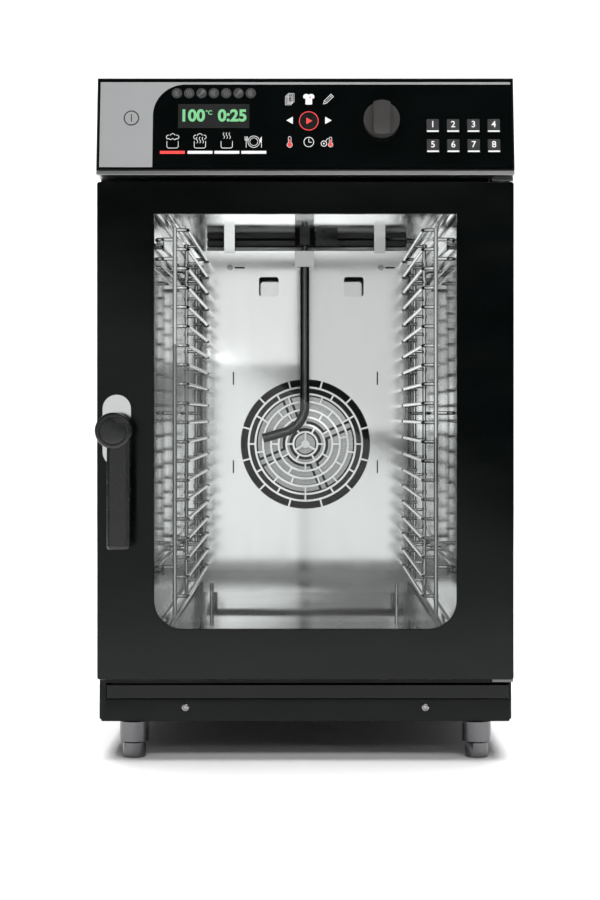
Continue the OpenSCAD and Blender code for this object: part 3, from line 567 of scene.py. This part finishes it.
def pencil(ink, x, z):
    """A pencil in outline that points down to the left."""
    slope = math.sqrt(0.5)

    def along(length, side):
        """A point at a length up the pencil and a distance to its left."""
        return x + (length - side) * slope, z + (length + side) * slope

    tip, neck, end, half = -8.4, -4.6, 7.0, 2.1
    around = [(tip, 0), (neck, half), (end, half), (end, -half), (neck, -half), (tip, 0)]
    ink.stroke([along(length, side) for length, side in around], 0.6)
    for start, stop in (((neck, half), (neck, -half)), ((neck, 0), (end, 0)),
                        ((end - 2.2, half), (end - 2.2, -half))):
        ink.stroke([along(*start), along(*stop)], 0.4)


def thermometer(white, red, x, z, scale=1.0):
    """A red column and bulb inside a white outline; z is the bulb's middle."""
    bulb, neck, top = 3.2 * scale, 1.7 * scale, 10.6 * scale
    white.arc(x, z, bulb, 0.5, 125, 415)
    for side in (-1, 1):
        white.stroke([(x + side * neck, z + bulb - 0.5), (x + side * neck, z + top - neck)], 0.5)
    white.arc(x, z + top - neck, neck, 0.5, 0, 180)
    red.disc(x, z, bulb - 0.6)
    red.stroke([(x, z), (x, z + top * 0.62)], 1.5 * scale)


def clock(white, x, z):
    """A round clock that shows three."""
    white.arc(x, z, 6.0, 0.75)
    white.stroke([(x + 3.2, z - 0.3), (x, z - 0.3), (x, z + 4)], 0.7)


def core_probe(white, red, x, z):
    """A round piece of food with a probe in it, and a thermometer beside it."""
    food_x, food_z = x - 5.4, z - 2.0
    white.arc(food_x, food_z, 3.4, 0.7)
    white.disc(food_x, food_z, 1.0)
    probe = [(2.2, 2.8), (4.0, 5.8), (5.4, 6.6)]
    white.stroke([(food_x + dx, food_z + dz) for dx, dz in probe], 0.6)
    thermometer(white, red, x + 2.8, z - 3.4, 0.9)


def function_icons(white, red):
    """Three columns of small icons to the right of the display."""
    left_x, mid_x, right_x = -19.3, 4.2, 28.2
    top_z, mid_z, low_z = 819.8, 793.0, 765.6
    pages(white, left_x, top_z)
    jacket(white, mid_x, top_z)
    red.disc(mid_x + 1.6, top_z + 2.4, 1.0)
    pencil(white, right_x, top_z)
    for x, side in ((left_x, -1), (right_x, 1)):
        tip_x, back_x = x + side * 4.2, x - side * 3.8
        white.outline([(tip_x, mid_z), (back_x, mid_z + side * 4.6), (back_x, mid_z - side * 4.6)])
    thermometer(white, red, left_x, low_z - 3.6)
    clock(white, mid_x, low_z)
    core_probe(white, red, right_x, low_z)


def status_icons(discs, ink):
    """A row of seven small grey round signs above the display."""
    first_x, pitch, z, radius = -159.1, 15.25, 827.6, 6.4
    for k in range(7):
        x = first_x + pitch * k
        discs.disc(x, z, radius)
        if k % 3 == 0:
            ink.arc(x, z, 2.9, 0.7, 40, 320)
            ink.disc(x, z, 1.1)
        elif k % 3 == 1:
            for shift in (-2.4, 0, 2.4):
                ink.steam(x + shift, z - 3, 6, 0.6)
        else:
            ink.stroke([(x - 3, z - 3), (x + 3, z + 3)], 1.0)
            ink.arc(x + 1.8, z + 1.8, 1.9, 0.6)


def panel_signs():
    """Every fixed sign that is printed on the fascia, one piece for each colour."""
    white, red = Print(), Print(out=0.26)
    discs, grey = Print(), Print(out=0.26)
    mode_icons(white)
    function_icons(white, red)
    status_icons(discs, grey)
    white.done("panel_signs_white", "white_mark")
    discs.done("panel_signs_discs", "grey_disc_glow")
    grey.done("panel_signs_grey", "grey_mark")
    red.done("panel_signs_red", "red_mark")


def display():
    """Green figures for the temperature and the time."""
    middle_z, tall, small = 798.4, 14.6, 5.4
    letters("display_temperature", "100", -139.8, middle_z, tall, "green_glow", "cabinet", bold=0.05)
    letters("display_degree", "°C", -119.4, middle_z + 4.2, small, "green_glow", "cabinet", bold=0.03)
    letters("display_time", "0:25", -90.2, middle_z, tall, "green_glow", "cabinet", bold=0.05)


def lamp_bars():
    """A lamp under each mode sign; the first one is lit red."""
    length, low_z, high_z = 30.6, 750.8, 754.4
    for k, start_x in enumerate((-179.2, -145.1, -112.0, -78.8)):
        bar = Print(out=0.15)
        bar.box(start_x, low_z, start_x + length, high_z)
        bar.done(f"lamp_bar_{k + 1}", "white_mark" if k else "red_mark")


def panel_buttons():
    """The power key with its sign, and the round start and stop key with a ring and a triangle."""
    finish_node("power_button", "inlay")
    x, z = -215, 796
    sign = Print(out=0.3, thick=0.08)
    sign.arc(x, z, 8.7, 1.1)
    sign.stroke([(x, z - 4.2), (x, z + 4.2)], 1.2)
    sign.done("power_sign", "black_print", "power_button", "black_plastic")
    finish_node("start_button", "plastic")
    x, z = 4.2, 792.3
    ring = Print(out=0.32)
    ring.arc(x, z, 11.6, 0.9)
    ring.outline([(x - 3, z - 4.1), (x + 4.4, z), (x - 3, z + 4.1)])
    ring.done("start_sign", "red_mark", "start_button")


def control_panel():
    """Housing, trim, fascia and what shows on the fascia."""
    rounded("control_housing", 0.8, "powder", "cabinet")
    rounded("trim_strip", 0.8, "trim", "cabinet")
    finish_node("fascia", "gloss")
    finish_node("fascia_inlay", "inlay")
    finish_node("display_windows", "display")
    finish_node("control_board", "board")
    panel_signs()
    display()
    lamp_bars()
    panel_buttons()
    quick_keys()
    rounded("knob", 0.9, "knob", "knob")


def quick_keys():
    """Eight bevelled keys in two rows, each with a digit and a lamp bar along its lower edge."""
    first_x, pitch, row_z = 157.2, 25.1, (786.2, 760.8)
    half_bar, bar_low, bar_high, digit_up = 7.2, -8.1, -6.3, 1.2
    for n in range(1, 9):
        body = f"key_{n}"
        row, column = divmod(n - 1, 4)
        x, z = first_x + column * pitch, row_z[row]
        rounded(body, 1.0, "key", body)
        bar = Print(out=1.42, thick=0.3)
        bar.box(x - half_bar, z + bar_low, x + half_bar, z + bar_high)
        bar.done(f"key_lamp_{n}", "white_mark", body)
        letters(f"key_digit_{n}", str(n), x, z + digit_up, 8.0, "white_mark", body, out=1.3, bold=0.016)


# ---- door ----


def handle():
    """Round boss with a capped front and a softly edged lever that hangs from it."""
    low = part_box("handle_lever")[0]
    pivot = joint("handle_turn")[0]
    boss_long = 27
    shank = [(0, -23), (14, -23), (14, -1.5), (20.5, 0), (21.6, 0.5), (22, 1.6)]
    rim = [(22, 24.4), (21.6, 25.7), (20.6, 26.3), (17.2, 26.5)]
    groove = [(16.8, 26.4), (16.5, 25.7), (16.2, 25.7), (15.9, 26.5)]
    cap = [(14, 26.95), (0, boss_long)]
    work = bmesh.new()
    lathe(work, shank + rim + groove + cap, (pivot.x, low.y + boss_long * MM, pivot.z), (0, -1, 0))
    boss = add_piece("handle_boss", close(work, "handle_boss", 30), "handle", "plastic")
    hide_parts("handle_lever")
    grip_lo = (pivot.x - 7.9 * MM, low.y + 3 * MM, low.z)
    grip_hi = (pivot.x + 20.4 * MM, low.y + 16 * MM, pivot.z)
    block("handle_grip", grip_lo, grip_hi, "plastic", "handle", edge=5, segments=6)
    finish_node("latch_spindle", "wire")


def door():
    """Front, panes, shell, pane clips, bushes, rosette and handle."""
    rounded("door_front", 0.8, "gloss", "door")
    finish_node("outer_pane", "glass")
    finish_node("inner_pane", "glass")
    finish_node("door_shell", "powder")
    rounded("pane_clips", 0.5, "wire", "door")
    finish_node("hinge_bushes", "brass")
    finish_node("rosette", "chrome")
    handle()


# ---- casing ----


def screw_heads():
    """Pan heads with a round socket, on the rim, above the door and on the rear panel."""
    head_height = 2.5
    rim_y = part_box("front_rim")[0].y
    recess_y = FRONT_Y + 50 * MM
    rear_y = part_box("casing_screws")[1].y - head_height * MM
    forward, back = (0, -1, 0), (0, 1, 0)
    rows = [(150, (63.4,), rim_y, forward, 5.2), (203, (720.9,), recess_y, forward, 3.3),
            (240, (70, 260, 560, 820), rear_y, back, 4.2)]
    work = bmesh.new()
    for x, heights, y, axis, radius in rows:
        profile = [(0, 0), (radius, 0), (radius, 0.8), (radius * 0.86, 2.0), (radius * 0.62, 2.45),
                   (radius * 0.5, 2.45), (radius * 0.42, 0.7), (0, 0.7)]
        for side in (-1, 1):
            for z in heights:
                lathe(work, profile, (side * x * MM, y, z * MM), axis, 36)
    heads = add_piece("screw_heads", close(work, "screw_heads", 30), "cabinet", "screw")
    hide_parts("casing_screws")


def casing():
    """Outer shells, front frame, seal, insulation, hinge parts and screws."""
    rounded("front_rim", 0.8, "powder", "cabinet")
    rounded("drip_tray", 0.9, "gloss", "cabinet")
    for side in ("left", "right"):
        rounded(f"side_panel_{side}", 0.6, "powder", "cabinet")
    rounded("top_cover", 0.6, "top", "cabinet")
    finish_node("rear_panel", "rear")
    finish_node("base_pan", "powder")
    finish_node("front_frame", "flange")
    rounded("door_seal", 2.4, "rubber", "cabinet", segments=4)
    finish_node("insulation", "wool")
    rounded("hinge_brackets", 0.7, "foot", "cabinet")
    finish_node("hinge_pins", "chrome")
    rounded("strike", 0.5, "wire", "cabinet")
    screw_heads()


# ---- inside the cavity ----


def baffle_fittings():
    """The channel over the baffle, a band of painted shade between two bright lips, and the two clips that
    hold the baffle.
    """
    # the web's dark steel is painted shade
    channel = (("shade_web", 9.5, 19.5, "shadow"), ("lower_lip", 2, 8.5, "lip"), ("upper_lip", 20.5, 26, "lip"))
    left_x, right_x = -0.152, 0.156
    near_y, far_y = BAFFLE_FACE_Y + 18 * MM, BAFFLE_FACE_Y + 32 * MM
    for name, low, high, material in channel:
        block(f"baffle_channel_{name}", (left_x, near_y, BAFFLE_TOP + low * MM),
              (right_x, far_y, BAFFLE_TOP + high * MM), material, "cabinet", edge=1.5)
    half_clip = 8 * MM
    near_y, far_y = BAFFLE_FACE_Y - 3 * MM, BAFFLE_FACE_Y + 15 * MM
    for n, x in enumerate((-0.116, 0.116)):
        block(f"baffle_clip_{n + 1}", (x - half_clip, near_y, BAFFLE_TOP - 6 * MM),
              (x + half_clip, far_y, BAFFLE_TOP + 18 * MM), "clip", "cabinet", edge=1.2)


def darken_above(piece, height):
    """Gives a piece's faces above a height in metres the dark steel of painted shade."""
    piece.data.materials.append(MATERIALS["shadow"])
    for face in piece.data.polygons:
        if face.center.z > height:
            face.material_index = 1


def fan_plates():
    """The fan wheel's pressed face: hub cap, ring, four arms, and plates set off by open slots."""
    wheel_lo, wheel_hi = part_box("fan_wheel")
    middle = (wheel_lo + wheel_hi) / 2
    front_y = wheel_lo.y + 2 * MM
    work = bmesh.new()

    def strip(inner, outer):
        """A strip 1 mm thick between two arcs, each given as radius, start, end and steps."""
        arcs = []
        for radius, start, end, steps in (inner, outer):
            turns = [start + (end - start) * j / steps for j in range(steps + 1)]
            arcs.append([(radius * math.cos(t), radius * math.sin(t)) for t in turns])
        near, far, near_back, far_back = [
            [work.verts.new((middle.x + x * MM, front_y + depth * MM, middle.z + z * MM)) for x, z in row]
            for depth in (0, 1) for row in arcs]
        for j in range(len(near) - 1):
            work.faces.new([near[j], near[j + 1], far[j + 1], far[j]])
            work.faces.new([near_back[j], far_back[j], far_back[j + 1], near_back[j + 1]])
            work.faces.new([near[j], near_back[j], near_back[j + 1], near[j + 1]])
            work.faces.new([far[j], far[j + 1], far_back[j + 1], far_back[j]])
        for j in (0, -1):
            work.faces.new([near[j], far[j], far_back[j], near_back[j]])

    first_arm = -math.radians(67)
    quarter = math.pi / 2
    slot_half, arm_half = 7.3, 3.5
    for k in range(4):
        arm = first_arm + quarter * k
        following = arm + quarter
        plate = [(radius, arm + math.asin(slot_half / radius), following - math.asin(slot_half / radius), 16)
                 for radius in (35, 73)]
        ring = [(radius, arm, following, 16) for radius in (24.5, 30)]
        hub_cap = [(radius, arm, following, 16) for radius in (6.5, 15)]
        spoke = [(radius, arm - math.asin(arm_half / radius), arm + math.asin(arm_half / radius), 2)
                 for radius in (30.2, 74.5)]
        for inner, outer in (plate, ring, hub_cap, spoke):
            strip(inner, outer)
    add_piece("fan_plates", close(work, "fan_plates"), "fan", "fan")


def fan_shroud():
    """A round plate on the liner's rear wall behind the fan; its dark steel is painted shade."""
    wall_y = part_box("cavity_liner")[1].y - 1.6 * MM
    middle_z = joint("fan_spin")[0].z
    work = bmesh.new()
    lathe(work, [(12, 0), (97, 0), (99, 0.8), (99, 2), (12, 2)], (0, wall_y, middle_z), (0, -1, 0))
    add_piece("fan_shroud", close(work, "fan_shroud"), "cabinet", "shadow")


def cavity():
    """Liner, baffle, racks, fan, heater, injection pipe and what holds them."""
    finish_node("cavity_liner", "liner")
    finish_node("fan_baffle", "baffle")
    baffle_fittings()
    finish_node("cavity_fittings", "wire")
    # the fan wheel gets painted shade so the slots between the fan plates read dark
    finish_node("fan_wheel", "shadow")
    fan_plates()
    fan_shroud()
    finish_node("fan_shaft", "chrome")
    finish_node("fan_motor", "motor")
    finish_node("heating_element", "dark_steel")
    finish_node("injection_pipe", "dark_steel")
    # the pipe fittings above the baffle top get painted shade
    darken_above(rounded("pipe_fittings", 0.8, "bracket", "cabinet"), BAFFLE_TOP)
    for side in ("left", "right"):
        finish_node(f"rack_{side}", "wire")


def connections():
    """Pipes, water inlet, cable gland and feet."""
    finish_node("drain_pipe", "wire")
    finish_node("exhaust_pipe", "wire")
    finish_node("water_inlet", "brass")
    rounded("cable_gland", 0.8, "plastic", "cabinet")
    rounded("foot_sleeves", 1.0, "foot", "cabinet")
    for n in range(1, 5):
        rounded(f"foot_{n}", 1.4, "foot", f"foot_{n}")


control_panel()
door()
casing()
cavity()
connections()


# ---- floor, lights and camera ----


def plain_floor():
    """A pale floor that curves up into a backdrop far behind."""
    near_y, far_y, half_width, top_z = -2.2, 6.0, 3.6, 8.0
    bend, steps = 2.0, 12
    turns = [math.pi / 2 * k / steps for k in range(steps + 1)]
    curve = [(far_y + bend * math.sin(turn), bend - bend * math.cos(turn)) for turn in turns]
    profile = [(near_y, 0.0)] + curve + [(far_y + bend, top_z)]
    work = bmesh.new()
    rows = [[work.verts.new((x, y, z)) for x in (-half_width, half_width)] for y, z in profile]
    for low, high in zip(rows, rows[1:]):
        work.faces.new([low[0], low[1], high[1], high[0]])
    mesh = bpy.data.meshes.new("floor")
    work.to_mesh(mesh)
    work.free()
    floor = bpy.data.objects.new("floor", mesh)
    bpy.context.scene.collection.objects.link(floor)
    paint = Shader("floor_paint", (0.9, 0.9, 0.9), roughness=0.85)
    paint.bump(paint.noise(80), 0.02, 0.0005)
    mesh.materials.append(paint.material)


def softbox(name, place, aim, size, glow, turn=0, seen=True):
    """A rectangular lamp of a given brightness. turn rolls it in its own plane, in degrees; seen lets
    polished surfaces mirror it."""
    data = bpy.data.lights.new(name, "AREA")
    data.shape = "RECTANGLE"
    data.size, data.size_y = size
    data.energy = glow * math.pi * size[0] * size[1]
    light = bpy.data.objects.new(name, data)
    bpy.context.scene.collection.objects.link(light)
    facing = (Vector(aim) - Vector(place)).to_track_quat("-Z", "Y").to_matrix()
    roll = Matrix.Rotation(math.radians(turn), 3, "Z")
    light.rotation_euler = (facing @ roll).to_euler()
    light.location = place
    light.visible_camera = False
    light.visible_glossy = seen


def studio_world():
    """White where the camera looks past the floor, dim everywhere else."""
    world = bpy.data.worlds.new("studio")
    bpy.context.scene.world = world
    world.use_nodes = True
    tree = world.node_tree
    back = tree.nodes["Background"]
    back.inputs["Color"].default_value = (1, 1, 1, 1)
    path = tree.nodes.new("ShaderNodeLightPath")
    level = tree.nodes.new("ShaderNodeMapRange")
    level.inputs["To Min"].default_value = 0.02
    level.inputs["To Max"].default_value = 1.0
    tree.links.new(path.outputs["Is Camera Ray"], level.inputs["Value"])
    tree.links.new(level.outputs["Result"], back.inputs["Strength"])


def lights():
    """Soft lamps above, in front and at the sides; one tall panel is what the polished steel mirrors."""
    studio_world()
    softbox("overhead", (0, 0.4, 3.2), (0, 0.2, 0), (3.2, 3.2), 9.0, seen=False)
    softbox("backdrop", (0, 3.2, 3.6), (0, 5.6, 0.4), (7.0, 2.0), 9.0, seen=False)
    softbox("left_panel", (-0.6, -3.6, -0.1), (-0.6, 0, -0.1), (4.0, 1.6), 0.78, turn=-32)
    softbox("front_top", (0.2, -2.7, 2.9), (0, 0, 0.6), (3.0, 1.1), 4.0, seen=False)
    softbox("front_middle", (0.7, -3.3, 1.5), (0, 0, 0.7), (2.0, 0.5), 3.0)
    softbox("right_strip", (2.6, -1.6, 1.2), (0, -0.3, 0.6), (0.8, 1.8), 2.2)
    softbox("left_strip", (-2.6, -1.4, 1.4), (0, -0.3, 0.6), (0.6, 1.6), 1.6, seen=False)
    cavity_lamps()


def cavity_lamps():
    """Soft light that comes in through the window, brighter above than below, and a bar over the racks."""
    front = FRONT_Y + 52 * MM
    inward = Vector((0, 1, 0))
    bottom_z, top_z = 0.142, 0.692
    halves = (("left", -0.099, 0.172, 0.52, 0.24, 0.9), ("right", 0.096, 0.178, 0.40, 0.16, 0.7))
    for name, x, width, split_z, low_glow, high_glow in halves:
        parts = (("low", bottom_z, split_z, low_glow), ("high", split_z, top_z, high_glow))
        for part, start, end, glow in parts:
            place = Vector((x, front, (start + end) / 2))
            softbox(f"window_{name}_{part}", place, place + inward, (width, end - start), glow)
    softbox("cavity_top", (0, front + 0.03, 0.686), (0, 0.25, 0.30), (0.36, 0.016), 16, seen=False)


def camera():
    """Level, straight in front of the door and far off, as the photograph was taken."""
    data = bpy.data.cameras.new("camera")
    data.sensor_width = 36
    data.lens = 82.6
    data.shift_x = -0.006
    data.shift_y = -0.0389
    data.clip_end = 60
    view = bpy.data.objects.new("camera", data)
    bpy.context.scene.collection.objects.link(view)
    view.location = (0, FRONT_Y - 2.551, 0.429)
    view.rotation_euler = (math.pi / 2, 0, 0)
    bpy.context.scene.camera = view


plain_floor()
lights()
camera()
bpy.context.scene.view_settings.view_transform = "Standard"
